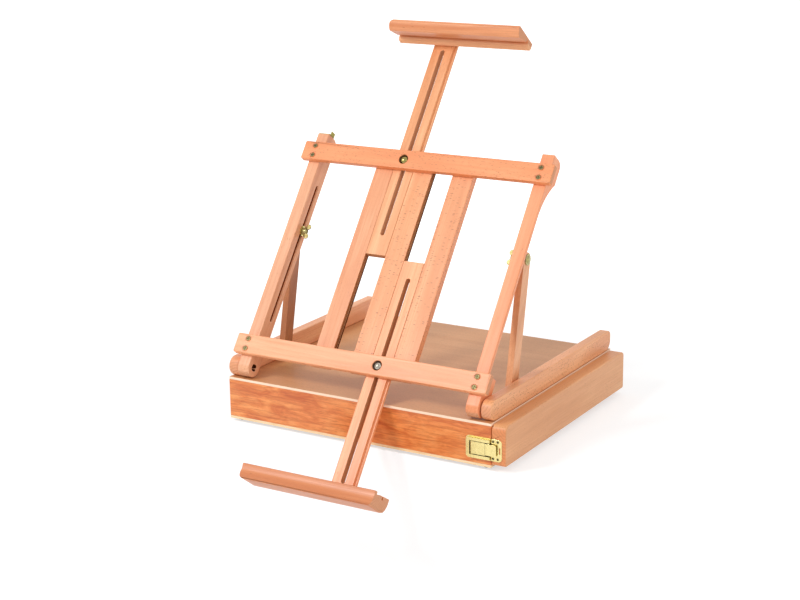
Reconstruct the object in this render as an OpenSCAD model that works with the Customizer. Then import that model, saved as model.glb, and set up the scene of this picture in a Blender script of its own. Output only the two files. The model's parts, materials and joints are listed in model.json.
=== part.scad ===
// Table box easel: a flat wooden box with a drawer in its right end, and a tilting frame on top.
// Two masts slide in channels of the frame: the upper one carries a holder, the lower one a ledge.
// X runs to the right, Y to the back and Z up. The origin is under the middle of the box body,
// on the plane that its glides stand on.

/* [Box] */
// Width of the box body, without the drawer front
body_w = 399.3; // [370:0.1:440]
// Depth of the box body, front to back
body_d = 360; // [330:1:400]
// Height of the box body
body_h = 58.5; // [54:0.5:70]
// Thickness of the plywood top and bottom
ply_t = 3.7; // [3:0.1:5]
// Thickness of the front, back and left end walls
wall_t = 10; // [8:0.5:12]
// Height of a glide under a corner
glide_h = 4; // [1:0.1:6]
// Diameter of a glide
glide_d = 11; // [8:0.5:16]
// Distance of a glide's centre from the body's edges
glide_inset = 12; // [9:0.5:20]
// Width of a rail on the box top
rail_w = 15; // [12:0.5:18]
// Height of a rail
rail_h = 27; // [24:0.5:30]
// Rounding of a rail's upper back corner
rail_far_r = 6.5; // [3:0.5:12]

/* [Drawer] */
// Thickness of the drawer front
front_t = 20.7; // [16:0.1:24]
// Drawer front's lower edge above the box's underside
front_lift = 4.2; // [4:0.1:6]
// Drawer front's upper edge below the box's top
front_drop = 1.4; // [1:0.1:4]
// Rounding of the drawer front's near upper corner
front_near_r = 9; // [4:0.5:12]
// Rounding of its far upper corner
front_far_r = 6; // [3:0.5:12]
// Rounding of its lower corners
front_low_r = 3; // [1:0.5:6]
// Gap between the closed drawer front and the body
front_gap = 0.3; // [0.2:0.1:1]
// Thickness of the drawer's sides and inner end
side_t = 9; // [6:0.5:12]
// Drawer's sides below the underside of the box top
side_drop = 8.8; // [7:0.1:14]
// Its taller inner end, which meets the stop, below the underside of the box top
end_drop = 2.3; // [1:0.1:3]
// Space behind the closed drawer
drawer_space = 15.6; // [5:0.1:45]
// Running gap at each side of the drawer
drawer_gap = 0.8; // [0.5:0.1:2]
// Height of the runners that the drawer slides on
runner_h = 4; // [3:0.5:6]
// Width of a runner
runner_w = 12; // [8:0.5:16]
// Thickness of the drawer bottom
drawer_ply = 3; // [2.5:0.1:4]
// Depth of the groove that holds the drawer bottom
groove_in = 4; // [3:0.5:5]
// Height of the drawer bottom above the sides' lower edge
bottom_lift = 4; // [3:0.5:6]
// Thickness of the dividers
divider_t = 5; // [4:0.5:8]
// Dividers' upper edges below the drawer's sides
divider_drop = 5; // [2:0.5:12]
// Place of the long divider, front to back
divider_y = -45; // [-80:1:40]
// Thickness of the stop strip under the box top
stop_h = 6; // [5:0.5:6.5]
// Width of the stop strip
stop_w = 12; // [8:0.5:20]

/* [Frame] */
// Lean of the frame back from vertical, in degrees
lean = 36.82; // [32:0.01:44]
// Frame pivot behind the box's front
pivot_back = 10; // [9:0.5:12]
// Frame pivot above the box's top
pivot_up = 14.5; // [14:0.5:16]
// Gap between an upright and the rail beside it
frame_gap = 1.65; // [1.2:0.05:2.5]
// Width of an upright, side to side
upright_w = 18; // [14:0.5:20]
// Depth of an upright, front to back
upright_d = 26; // [24:0.5:27]
// Length of an upright above its pivot
upright_l = 348; // [343:0.5:350]
// Rounding of an upright's upper back corner
head_r = 10; // [5:0.5:12]
// How far a crossbar's end reaches past an upright
bar_over = 9; // [3:0.5:12]
// Height of a crossbar
bar_h = 27.4; // [24:0.1:30]
// Thickness of a crossbar
bar_t = 9; // [8:0.5:11]
// Rounding of a crossbar's corners
bar_r = 2.5; // [1:0.5:5]
// Lower crossbar's centre above the pivot
bar_low = 25.7; // [25:0.1:28]
// Upper crossbar's centre above the pivot
bar_high = 317; // [312:0.1:320]

/* [Boards and masts] */
// Thickness of the guide boards and the masts
board_t = 10.5; // [9:0.5:12]
// Width of the middle guide board
middle_w = 29.2; // [26:0.1:32]
// Width of the channel that a mast slides in
channel_w = 31.2; // [28:0.1:34]
// Width of the left guide board
left_w = 27.2; // [24:0.1:32]
// Width of the right guide board
right_w = 31.2; // [24:0.1:34]
// How far the guide boards' ends stay inside the crossbars' edges
board_inset = 2.5; // [0:0.5:5]
// Gap between a mast and the boards beside it
mast_gap = 0.4; // [0.15:0.05:0.5]
// Depth of the grooves in the guide boards
groove_d = 3.5; // [2.5:0.1:4.5]
// Width of the grooves
groove_w = 4; // [3:0.1:5]
// Thickness of wood in front of the grooves
groove_lip = 3.4; // [2.5:0.1:3.6]
// Width of the long slots in the masts
slot_w = 6.5; // [6.2:0.1:9]
// Upper mast's lower end above the pivot
upper_from = 179; // [170:1:190]
// Upper mast's upper end
upper_to = 505.5; // [495:0.5:520]
// Upper mast's slot, from
upper_slot_from = 207.4; // [200:0.1:209]
// Upper mast's slot, to
upper_slot_to = 490; // [480:1:492]
// Lower mast's upper end above the pivot
lower_to = 175.7; // [170:0.1:176]
// Lower mast's lower end, below the pivot
lower_from = -151; // [-160:1:-148]
// Lower mast's slot, from
lower_slot_from = -132; // [-132:1:-100]
// Lower mast's slot, to
lower_slot_to = 151.7; // [130:0.1:155]

/* [Holder and ledge] */
// Length of the holder at the top
holder_l = 200.6; // [180:0.1:220]
// Length of the ledge at the bottom
ledge_l = 198.6; // [180:0.1:220]
// Depth of the holder, out from the mast
holder_d = 46.2; // [40:0.1:52]
// Depth of the ledge, out from the mast
ledge_d = 45.2; // [40:0.1:52]
// Holder's top above the mast's upper end
holder_over = 1.8; // [1:0.1:6]
// Ledge's top above the mast's lower end
ledge_over = 11; // [9.5:0.1:20]
// Holder's middle to the right of the frame's middle
holder_shift = 1.8; // [-4:0.1:4]
// Ledge's middle to the right of the frame's middle
ledge_shift = 2.9; // [-4:0.1:4]
// Rounding of the ledge's lower left corner
ledge_r = 12; // [4:0.5:14]

/* [Props] */
// Place of a prop's foot pivot, from the box's front
foot_back = 100; // [95:1:105]
// Place of the foot pivot above the box's top
foot_up = 13.5; // [13:0.1:15]
// Prop bolt's place along the upright, above the frame pivot
bolt_at = 205; // [203:0.5:212]
// Thickness of a prop
prop_t = 9; // [6:0.1:9.2]
// Width of a prop
prop_w = 18.5; // [15:0.5:18.5]
// Upright's slot behind its middle
slot_back = 2.5; // [2:0.1:3]
// Upright's slot, lower end above the pivot
side_slot_from = 68; // [60:1:150]
// Upright's slot, upper end
side_slot_to = 274; // [272:1:276]
// Rabbet for the prop: its lower end above the pivot
rabbet_from = 42; // [40:1:46]
// Where the rabbet starts to get shallower
rabbet_to = 258; // [256:1:262]
// Where the rabbet runs out at the upright's back
rabbet_end = 316; // [300:0.5:320]
// Web of wood left between the rabbet and the upright's inner face
web_t = 6.5; // [5:0.1:7]
// Wood left in front of the rabbet
rabbet_lip = 5.8; // [5:0.1:6]

/* [Hardware] */
// Diameter of the pivot, prop and clamp bolts
bolt_d = 6; // [5:0.5:6]
// Radial clearance of a piece that turns on a bolt
turn_gap = 0.1; // [0.05:0.01:0.1]
// Radial clearance of a screw in its hole
screw_gap = 0.05; // [0.02:0.01:0.1]
// Diameter of the round flange under a prop bolt's head
prop_flange_d = 14.7; // [12:0.1:16]
// Diameter of that head's dome
prop_head_d = 11; // [9:0.1:11.5]
// Height of the flange and the dome
prop_head_h = 3; // [2.6:0.1:3.2]
// Reach of a wing of a wing nut from its axis
wing_reach = 10.5; // [8:0.5:11.4]
// Height of a wing nut
wing_h = 10.5; // [8:0.5:11.5]
// Diameter of a clamp bolt's domed head
clamp_head_d = 11.6; // [9:0.1:12]
// Diameter of the sunk hole around it
clamp_sink_d = 13; // [12.1:0.1:14]
// Depth of that hole
clamp_sink = 3.6; // [3:0.1:5]
// Diameter of a crossbar screw's head
screw_head_d = 7.8; // [5:0.1:9]
// Diameter of a wood screw's shank
screw_d = 3.8; // [3:0.1:4]
// Length of a crossbar screw
bar_screw_l = 22; // [18:0.5:24]
// Distance between the two screws at a crossbar's end
screw_pitch = 14; // [10:0.1:15]

/* [Latch] */
// Width of the latch's base plate
latch_w = 35; // [32:0.5:40]
// Height of the latch
latch_h = 29.4; // [26:0.1:34]
// Height of the latch's middle above the box's underside
latch_up = 24.5; // [22:0.1:30]
// Thickness of the latch's plates
plate_t = 0.9; // [0.7:0.1:1.2]
// Height of the raised rim round the leaf
rim_h = 4.2; // [3.9:0.1:4.4]
// Height of the leaf across the latch
leaf_w = 16.4; // [12:0.1:18]
// Width of the catch plate on the drawer front
catch_w = 15; // [14:0.5:18]

/* [Hidden] */
$fn = 48;
over = 0.1;
// Box
box_top = glide_h + body_h;
inner_x = body_w / 2 - wall_t;
inner_y = body_d / 2 - wall_t;
inner_low = glide_h + ply_t;
inner_top = box_top - ply_t;
front_y = -body_d / 2;
rail_in = body_w / 2 - rail_w;
rail_r = rail_h / 2 - 0.1;
rail_screw_l = 18;
rail_screw_head_d = 7;
rail_screw_at = [-120, 0, 120];
rail_screw_x = body_w / 2 - rail_w / 2;
runner_end = 1;
// Drawer
front_x = body_w / 2 + front_gap;
drawer_y = inner_y - drawer_gap;
drawer_z = inner_low + runner_h + 0.3;
floor_z = drawer_z + bottom_lift;
drawer_l = front_x + inner_x - drawer_space;
drawer_x = front_x - drawer_l;
side_h = inner_top - side_drop - drawer_z;
end_h = inner_top - end_drop - drawer_z;
divider_z = floor_z + drawer_ply;
divider_h = drawer_z + side_h - divider_drop - divider_z;
bottom_gap = 0.1;
// Frame: local X is the same, Y points out of its back and Z up along it
pivot_y = front_y + pivot_back;
pivot_z = box_top + pivot_up;
half_d = upright_d / 2;
out_x = rail_in - frame_gap;
in_x = out_x - upright_w;
web_x = in_x + web_t;
rabbet_y = -half_d + rabbet_lip;
head_near_r = 1.5;
bar_l = 2 * (out_x + bar_over);
screw_x = (in_x + out_x) / 2;
mast_x = middle_w / 2 + channel_w / 2;
mast_w = channel_w - 2 * mast_gap;
outer_x = middle_w / 2 + channel_w;
tongue_gap = 0.15;
tongue_w = groove_d - 0.5;
board_from = bar_low - bar_h / 2 + board_inset;
board_to = bar_high + bar_h / 2 - board_inset;
mast_back = -half_d + board_t;
ledge_h = 21.5;
// Props, worked out from where the two pivots lie
bolt_y = pivot_y + bolt_at * sin(lean) + slot_back * cos(lean);
bolt_z = pivot_z + bolt_at * cos(lean) - slot_back * sin(lean);
foot_y = front_y + foot_back;
foot_z = box_top + foot_up;
prop_l = norm([bolt_y - foot_y, bolt_z - foot_z]);
prop_lean = atan2(bolt_y - foot_y, bolt_z - foot_z);
prop_in = web_x + 0.3;
prop_out = prop_in + prop_t;
foot_head_d = 10;
foot_collar_d = 10;
board_screw_head_d = 6;
board_screw_l = board_t + bar_t - 3;
end_screw_head_d = 7;
end_screw_x = 8;
end_screw_in = 4.2;
holder_screw_l = board_t + 9;
ledge_screw_l = board_t + 16;
// Hardware
pivot_head_d = 8.6;
pivot_sink_d = 9.4;
pivot_sink = 9;
pivot_head_h = 3.2;
pivot_bite = 10;
pivot_washer_t = frame_gap - 0.35;
washer_t = 0.8;
washer_d = 14;
washer_gap = 0.2;
wing_hub_d = 10;
wing_hub_h = wing_h * 0.55;
wing_t = 2;
wing_bore_gap = 0.05;
wing_stand = 0.2;
prop_nut_x = in_x - washer_gap - washer_t - wing_stand;
bolt_tail = 2;
clamp_washer_d = 16;
clamp_gap = 0.3;
// Latch
latch_z = glide_h + latch_up;
leaf_l = 20.8;
hook_l = 15.4;
leaf_t = 1.4;
leaf_gap = 0.9;
latch_pin_d = 1.4;
latch_pin_in = 26.2;
latch_x = body_w / 2 - 0.1;
latch_pin_x = latch_x - latch_pin_in;
latch_pin_y = front_y - plate_t - 1.5;
latch_hole_z = 11.3;
latch_screw_in = 21.5;
latch_screw_z = 5;
catch_x = front_x + 0.1;
catch_hole_x = [2.8, 9.4];
catch_slot_x = 12;
latch_r = 5;
square_r = 0.6;
// Small screws: diameter of the head, diameter of the shank, length
latch_screw = [2.6, 1.8, 8];
catch_screw = [3.4, 2, 9];
fold_screw = [4.2, 2.4, 12];

// Draws a flat shape, given as (y, z), from one X to another
module along_x(x0, x1) {
    translate([x0, 0, 0]) rotate([90, 0, 90]) linear_extrude(x1 - x0) children();
}

// Draws a flat shape, given as (x, z), from one Y to another
module along_y(y0, y1) {
    translate([0, y1, 0]) rotate([90, 0, 0]) linear_extrude(y1 - y0) children();
}

// Turns what is drawn along the frame into its place, leaning back from the pivot
module on_frame() {
    translate([0, pivot_y, pivot_z]) rotate([-lean, 0, 0]) children();
}

// Places a prop's pieces: the bolt's axis is the origin, and the prop hangs down from it
module on_prop() {
    translate([0, bolt_y, bolt_z]) rotate([-prop_lean, 0, 0]) children();
}

// Draws what belongs to the right side on the chosen side
module on_side(side) {
    mirror([side == "left" ? 1 : 0, 0, 0]) children();
}

// A rod along X, from x0 to x1
module rod_x(x0, x1, d) {
    translate([x0, 0, 0]) rotate([0, 90, 0]) cylinder(d = d, h = x1 - x0);
}

// A rod along Y, from y0 to y1
module rod_y(y0, y1, d) {
    translate([0, y1, 0]) rotate([90, 0, 0]) cylinder(d = d, h = y1 - y0);
}

// A flat bar with round ends, h wide, from one end to the other along the second axis
module slot_shape(w, from, to) {
    translate([0, from + w / 2]) circle(d = w);
    translate([0, to - w / 2]) circle(d = w);
    translate([-w / 2, from + w / 2]) square([w, to - from - w]);
}

// A rectangle with four round corners: near lower, far lower, far upper, near upper
module round_box(x0, y0, x1, y1, r) {
    difference() {
        translate([x0, y0]) square([x1 - x0, y1 - y0]);
        corner(x0, y0, 0, r[0]);
        corner(x1, y0, 90, r[1]);
        corner(x1, y1, 180, r[2]);
        corner(x0, y1, 270, r[3]);
    }
}

// What is cut away to round one corner
module corner(x, y, turn, r) {
    translate([x, y]) rotate(turn) difference() {
        translate([-over, -over]) square(r + over);
        translate([r, r]) circle(r);
    }
}

// A countersunk wood screw along -Z, with its flat head's top at z = 0 and a cross in it
module wood_screw(head_d, d, l) {
    head_h = (head_d - d) / 2;
    difference() {
        union() {
            translate([0, 0, -head_h]) cylinder(d1 = d, d2 = head_d, h = head_h);
            translate([0, 0, -l]) cylinder(d = d, h = l - head_h / 2);
        }
        for (turn = [0, 90]) rotate(turn) translate([-head_d * 0.3, -0.4, -0.9])
            cube([head_d * 0.6, 0.8, 1]);
    }
}

// The hole for that screw, a little wider all round
module screw_hole(head_d, d, l) {
    head_h = (head_d - d) / 2;
    translate([0, 0, -head_h - screw_gap]) cylinder(d1 = d, d2 = head_d, h = head_h);
    translate([0, 0, -screw_gap - over / 2]) cylinder(d = head_d, h = 1);
    translate([0, 0, -l - screw_gap]) cylinder(d = d + 2 * screw_gap, h = l);
}

// Box body

module bottom_panel() {
    color("burlywood") translate([-body_w / 2, front_y, glide_h]) cube([body_w, body_d, ply_t]);
}

module top_panel() {
    color("tan") difference() {
        translate([-body_w / 2, front_y, inner_top]) cube([body_w, body_d, ply_t]);
        at_rail_screws(1) screw_hole(rail_screw_head_d, screw_d, rail_screw_l);
        at_rail_screws(-1) screw_hole(rail_screw_head_d, screw_d, rail_screw_l);
    }
}

// The three screws that come up through the box top into one rail
module at_rail_screws(side) {
    for (y = rail_screw_at) translate([side * rail_screw_x, y, inner_top])
        rotate([180, 0, 0]) children();
}

module rail_screws() {
    color("silver") for (side = [-1, 1]) at_rail_screws(side)
        wood_screw(rail_screw_head_d, screw_d, rail_screw_l);
}

module front_panel() {
    color("chocolate") difference() {
        translate([-body_w / 2, front_y, inner_low]) cube([body_w, wall_t, inner_top - inner_low]);
        at_latch_screws() screw_hole(latch_screw[0], latch_screw[1], latch_screw[2]);
    }
}

module back_panel() {
    color("peru") translate([-body_w / 2, inner_y, inner_low])
        cube([body_w, wall_t, inner_top - inner_low]);
}

module left_end_panel() {
    color("sandybrown") translate([-body_w / 2, -inner_y, inner_low])
        cube([wall_t, 2 * inner_y, inner_top - inner_low]);
}

// Strips on the box floor, along the front and back walls
module drawer_runners() {
    color("wheat") for (y = [-inner_y, inner_y - runner_w]) translate([-inner_x, y, inner_low])
        cube([inner_x + body_w / 2 - runner_end, runner_w, runner_h]);
}

// The strip under the box top that keeps the drawer from coming out
module drawer_stop() {
    color("wheat") translate([body_w / 2 - runner_end - stop_w, -inner_y, inner_top - stop_h])
        cube([stop_w, 2 * inner_y, stop_h]);
}

// A rail on the box top: its front end is a half round, its back end is squarer at the top
module rail(side) {
    color("sandybrown") on_side(side) difference() {
        along_x(rail_in, body_w / 2) round_box(front_y, box_top, front_y + body_d,
            box_top + rail_h, [rail_r, rail_r, rail_far_r, rail_r]);
        at_rail_screws(1) screw_hole(rail_screw_head_d, screw_d, rail_screw_l);
        translate([0, pivot_y, pivot_z])
            rod_x(rail_in - over, rail_in + pivot_bite + screw_gap, bolt_d + 2 * screw_gap);
    }
}

module glide_feet() {
    glide_x = body_w / 2 - glide_inset;
    glide_y = body_d / 2 - glide_inset;
    color("dimgray") for (x = [-glide_x, glide_x]) for (y = [-glide_y, glide_y])
        translate([x, y, 0]) cylinder(d1 = glide_d - glide_h, d2 = glide_d, h = glide_h);
}

// The bolts that the uprights turn on: sunk heads with a six-sided hole, screwed into the rails
module pivot_bolts() {
    head_x = in_x + pivot_sink - 0.2;
    color("silver") for (side = ["left", "right"]) on_side(side)
        translate([0, pivot_y, pivot_z]) difference() {
            union() {
                rod_x(head_x - pivot_head_h, head_x, pivot_head_d);
                rod_x(head_x - over, rail_in + pivot_bite, bolt_d);
            }
            translate([head_x - pivot_head_h - over, 0, 0]) rotate([0, 90, 0])
                cylinder(d = 4.6, h = 2, $fn = 6);
        }
}

module pivot_washers() {
    color("silver") for (side = ["left", "right"]) on_side(side)
        translate([0, pivot_y, pivot_z]) difference() {
            rod_x(rail_in - pivot_washer_t, rail_in, washer_d);
            rod_x(rail_in - pivot_washer_t - over, rail_in + over, bolt_d + 2 * turn_gap);
        }
}

// Latch on the front: a base with a raised rim, a leaf that swings, and a catch on the drawer

// The latch's outline, as (x, z), from one X to another, round at its left or right corners
module latch_outline(x0, x1, left_r, right_r) {
    round_box(x0, latch_z - latch_h / 2, x1, latch_z + latch_h / 2,
        [left_r, right_r, right_r, left_r]);
}

// The opening in the rim that the leaf lies in
module leaf_opening(gap) {
    translate([latch_pin_x - 1.4 - gap, latch_z - leaf_w / 2 - gap])
        square([latch_w, leaf_w + 2 * gap]);
}

module latch_base() {
    color("gold") difference() {
        union() {
            along_y(front_y - plate_t, front_y)
                latch_outline(latch_x - latch_w, latch_x, latch_r, square_r);
            along_y(front_y - rim_h, front_y) difference() {
                round_box(latch_x - latch_w + 1.6, latch_z - latch_h / 2 + 1.6, latch_x,
                    latch_z + latch_h / 2 - 1.6, [latch_r - 1, square_r, square_r, latch_r - 1]);
                leaf_opening(leaf_gap);
            }
        }
        at_latch_screws() screw_hole(latch_screw[0], latch_screw[1], latch_screw[2]);
        translate([latch_pin_x, latch_pin_y, latch_z - leaf_w / 2 - 2.5])
            cylinder(d = latch_pin_d + 2 * screw_gap, h = leaf_w + 5);
    }
}

// The pin that the leaf swings on, held in the rim at both ends
module latch_pin() {
    color("goldenrod") translate([latch_pin_x, latch_pin_y, latch_z - leaf_w / 2 - 2.4])
        cylinder(d = latch_pin_d, h = leaf_w + 4.8);
}

// Two small screws through the floor of the base, under the leaf
module at_latch_screws() {
    for (z = [-1, 1]) translate([latch_x - latch_screw_in, front_y - plate_t,
        latch_z + z * latch_screw_z]) rotate([90, 0, 0]) children();
}

module latch_screws() {
    color("goldenrod") at_latch_screws() wood_screw(latch_screw[0], latch_screw[1], latch_screw[2]);
}

module latch_leaf() {
    color("gold") translate([latch_pin_x, latch_pin_y, latch_z - leaf_w / 2])
        difference() {
            union() {
                cylinder(d = 2.8, h = leaf_w);
                translate([0, -1.4, 0]) cube([leaf_l - 1.4, leaf_t, leaf_w]);
            }
            translate([0, 0, -over])
                cylinder(d = latch_pin_d + 2 * screw_gap, h = leaf_w + 2 * over);
        }
}

// The hook plate: it laps under the leaf and reaches over the catch
module latch_hook() {
    hook_x = leaf_l - 1.4 + 0.25;
    color("gold") translate([latch_pin_x, latch_pin_y, latch_z]) {
        translate([6, 0, -leaf_w / 2 + 2]) cube([hook_x + hook_l - 9, 1, leaf_w - 4]);
        difference() {
            translate([hook_x, -1.4, -leaf_w / 2 + 0.6]) cube([hook_l, leaf_t, leaf_w - 1.2]);
            for (z = [-1, 1]) translate([hook_x + hook_l, 0, z * (leaf_w / 2 - 0.6)])
                rotate([90, 0, 0]) cylinder(d = 2.4, h = 4, center = true, $fn = 8);
        }
    }
}

// The plate on the end of the drawer front, with two pairs of screws and a slot for the hook
module latch_catch() {
    color("gold") difference() {
        along_y(front_y - plate_t, front_y)
            latch_outline(catch_x, catch_x + catch_w, square_r, latch_r);
        at_catch_screws() screw_hole(catch_screw[0], catch_screw[1], catch_screw[2]);
        along_y(front_y - 3, front_y + over) translate([catch_x + catch_slot_x, 0])
            slot_shape(1.6, latch_z - 4.2, latch_z + 4.2);
    }
}

module at_catch_screws() {
    for (x = catch_hole_x) for (z = [-1, 1])
        translate([catch_x + x, front_y - plate_t, latch_z + z * latch_hole_z])
            rotate([90, 0, 0]) children();
}

module catch_screws() {
    color("goldenrod") at_catch_screws() wood_screw(catch_screw[0], catch_screw[1], catch_screw[2]);
}

// Drawer

module drawer_front() {
    color("sandybrown") difference() {
        along_x(front_x, front_x + front_t - front_gap)
            round_box(front_y, glide_h + front_lift, front_y + body_d, box_top - front_drop,
                [front_low_r, front_low_r, front_far_r, front_near_r]);
        at_catch_screws() screw_hole(catch_screw[0], catch_screw[1], catch_screw[2]);
    }
}

// The groove round the inside of the drawer that its bottom sits in
module bottom_groove() {
    translate([drawer_x + side_t - groove_in, -drawer_y + side_t - groove_in, floor_z])
        cube([drawer_l, 2 * (drawer_y - side_t + groove_in), drawer_ply]);
}

module drawer_side(y) {
    color("burlywood") difference() {
        translate([drawer_x + side_t, y, drawer_z]) cube([drawer_l - side_t, side_t, side_h]);
        bottom_groove();
    }
}

module drawer_inner_end() {
    color("burlywood") difference() {
        translate([drawer_x, -drawer_y, drawer_z]) cube([side_t, 2 * drawer_y, end_h]);
        bottom_groove();
    }
}

module drawer_bottom() {
    in = groove_in - bottom_gap;
    color("wheat") translate([drawer_x + side_t - in, -drawer_y + side_t - in, floor_z])
        cube([drawer_l - side_t + in, 2 * (drawer_y - side_t + in), drawer_ply]);
}

module drawer_long_divider() {
    color("burlywood") translate([drawer_x + side_t, divider_y - divider_t / 2, divider_z])
        cube([drawer_l - side_t, divider_t, divider_h]);
}

// Two short dividers in front of the long one and one behind it
module drawer_cross_dividers() {
    length = drawer_l - side_t;
    near = -drawer_y + side_t;
    color("burlywood") {
        for (part = [1, 2]) cross_divider(drawer_x + side_t + length * part / 3, near,
            divider_y - divider_t / 2);
        cross_divider(drawer_x + side_t + length / 2, divider_y + divider_t / 2, -near);
    }
}

module cross_divider(x, y0, y1) {
    translate([x - divider_t / 2, y0, divider_z]) cube([divider_t, y1 - y0, divider_h]);
}

// Tilting frame

// An upright: round at the pivot, a rabbet outside at the back for the folded prop, and a long
// slot through the web for the prop's bolt. The rabbet runs out at its top in the cutter's arc
module upright(side) {
    deep = half_d - rabbet_y;
    run_r = (pow(rabbet_end - rabbet_to, 2) + deep * deep) / (2 * deep);
    color("sandybrown") on_frame() on_side(side) difference() {
        along_x(in_x, out_x) union() {
            circle(half_d);
            round_box(-half_d, 0, half_d, upright_l, [0.01, 0.01, head_r, head_near_r]);
        }
        along_x(web_x, out_x + over) {
            translate([rabbet_y, rabbet_from]) square([deep + over, rabbet_to - rabbet_from]);
            translate([rabbet_y + run_r, rabbet_to]) circle(run_r);
        }
        along_x(in_x - over, out_x + over) translate([slot_back, 0])
            slot_shape(slot_w, side_slot_from, side_slot_to);
        rod_x(in_x - over, out_x + over, bolt_d + 2 * turn_gap);
        rod_x(in_x - over, in_x + pivot_sink, pivot_sink_d);
        at_bar_screws(1) screw_hole(screw_head_d, screw_d, bar_screw_l);
        if (side == "left") mirror([1, 0, 0]) at_fold_catch_screws()
            screw_hole(fold_screw[0], fold_screw[1], fold_screw[2]);
    }
}

// Screws at the right or left end of both crossbars, in from the front
module at_bar_screws(side) {
    for (z = [bar_low, bar_high]) for (up = [-1, 1])
        translate([side * screw_x, -half_d - bar_t, z + up * screw_pitch / 2])
            rotate([90, 0, 0]) children();
}

module crossbar_screws() {
    color("goldenrod") on_frame() for (side = [-1, 1]) at_bar_screws(side)
        wood_screw(screw_head_d, screw_d, bar_screw_l);
}

// A crossbar, with the clamp bolt's sunk hole over one of the channels
module crossbar(z, clamp_x) {
    color("sandybrown") on_frame() difference() {
        along_y(-half_d - bar_t, -half_d)
            round_box(-bar_l / 2, z - bar_h / 2, bar_l / 2, z + bar_h / 2,
                [bar_r, bar_r, bar_r, bar_r]);
        at_bar_screws(1) screw_hole(screw_head_d, screw_d, bar_screw_l);
        at_bar_screws(-1) screw_hole(screw_head_d, screw_d, bar_screw_l);
        at_board_screws() screw_hole(board_screw_head_d, screw_d, board_screw_l);
        translate([clamp_x, 0, z]) {
            rod_y(-half_d - bar_t - over, -half_d + over, bolt_d + 2 * screw_gap);
            rod_y(-half_d - bar_t - over, -half_d - bar_t + clamp_sink, clamp_sink_d);
        }
    }
}

// A clamp bolt: a domed head at the bottom of its sunk hole, through the crossbar and the mast
module clamp_bolt(z, clamp_x) {
    head_y = -half_d - bar_t + clamp_sink;
    dome_r = clamp_head_d * 0.62;
    dome_h = dome_r - sqrt(dome_r * dome_r - clamp_head_d * clamp_head_d / 4);
    on_frame() translate([clamp_x, 0, z]) {
        rod_y(head_y - 0.6, mast_back + wing_h + washer_t + bolt_tail, bolt_d);
        rod_y(head_y - 0.6, head_y, clamp_head_d);
        translate([0, head_y - 0.6, 0]) rotate([90, 0, 0]) intersection() {
            cylinder(d = clamp_head_d, h = dome_h + over);
            translate([0, 0, dome_h - dome_r]) sphere(dome_r);
        }
    }
}

module clamp_washers() {
    color("goldenrod") on_frame() for (place = [[-mast_x, bar_high], [mast_x, bar_low]])
        translate([place[0], 0, place[1]]) difference() {
            rod_y(mast_back + clamp_gap, mast_back + clamp_gap + washer_t, clamp_washer_d);
            rod_y(mast_back, mast_back + 2, bolt_d + 2 * turn_gap);
        }
}

// A wing nut whose axis is +Y, standing on y = 0, with its wings to both sides along X
module wing_nut() {
    lobe_r = 3.6;
    lobe_x = wing_reach - lobe_r;
    lobe_y = wing_h - lobe_r;
    rotate([-90, 0, 0]) difference() {
        union() {
            cylinder(d1 = wing_hub_d, d2 = wing_hub_d - 2, h = wing_hub_h);
            rotate([90, 0, 0]) translate([0, 0, -wing_t / 2]) linear_extrude(wing_t) union() {
                for (side = [-1, 1]) {
                    translate([side * lobe_x, lobe_y]) circle(lobe_r);
                    polygon([[0, 0.5], [side * (wing_hub_d / 2 - 0.2), 0.5],
                        [side * (lobe_x + lobe_r * 0.87), lobe_y - lobe_r * 0.5],
                        [side * (lobe_x - lobe_r * 0.8), lobe_y + lobe_r * 0.6], [0, wing_h * 0.5]]);
                }
            }
        }
        translate([0, 0, -over]) cylinder(d = bolt_d + 2 * wing_bore_gap, h = wing_h + 2 * over);
    }
}

module clamp_nut(z, clamp_x) {
    color("goldenrod") on_frame()
        translate([clamp_x, mast_back + clamp_gap + washer_t + wing_stand, z]) wing_nut();
}

// The guide boards behind the crossbars, with a groove in each edge beside a channel

module guide_board(x0, x1, left_groove, right_groove) {
    groove_y = -half_d + groove_lip;
    color("sandybrown") on_frame() difference() {
        translate([x0, -half_d, board_from]) cube([x1 - x0, board_t, board_to - board_from]);
        if (left_groove) translate([x0 - over, groove_y, board_from - over])
            cube([groove_d + over, groove_w, board_to - board_from + 2 * over]);
        if (right_groove) translate([x1 - groove_d, groove_y, board_from - over])
            cube([groove_d + over, groove_w, board_to - board_from + 2 * over]);
        at_board_screws() screw_hole(board_screw_head_d, screw_d, board_screw_l);
    }
}

// Two screws at each end of each board, in from the back
module at_board_screws() {
    board_x = [-outer_x - left_w / 2, 0, outer_x + right_w / 2];
    for (x = board_x) for (z = [bar_low, bar_high]) for (up = [-1, 1])
        translate([x + up * 5, mast_back, z + up * 7]) rotate([-90, 0, 0]) children();
}

module board_screws() {
    color("goldenrod") on_frame() at_board_screws()
        wood_screw(board_screw_head_d, screw_d, board_screw_l);
}

// A mast's cross-section: flush with the boards, and a tongue in the groove at each side
module mast_section() {
    tongue_y = -half_d + groove_lip + tongue_gap;
    translate([-mast_w / 2, -half_d]) square([mast_w, board_t]);
    translate([-mast_w / 2 - tongue_w, tongue_y])
        square([mast_w + 2 * tongue_w, groove_w - 2 * tongue_gap]);
}

module mast(x, from, to, slot_from, slot_to) {
    color("navajowhite") on_frame() translate([x, 0, 0]) difference() {
        translate([0, 0, from]) linear_extrude(to - from) mast_section();
        along_y(-half_d - over, mast_back + over) slot_shape(slot_w, slot_from, slot_to);
        children();
    }
}

module upper_mast() {
    mast(-mast_x, upper_from, upper_to, upper_slot_from, upper_slot_to)
        translate([mast_x, 0, 0]) at_holder_screws()
            screw_hole(end_screw_head_d, screw_d, holder_screw_l);
}

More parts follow.
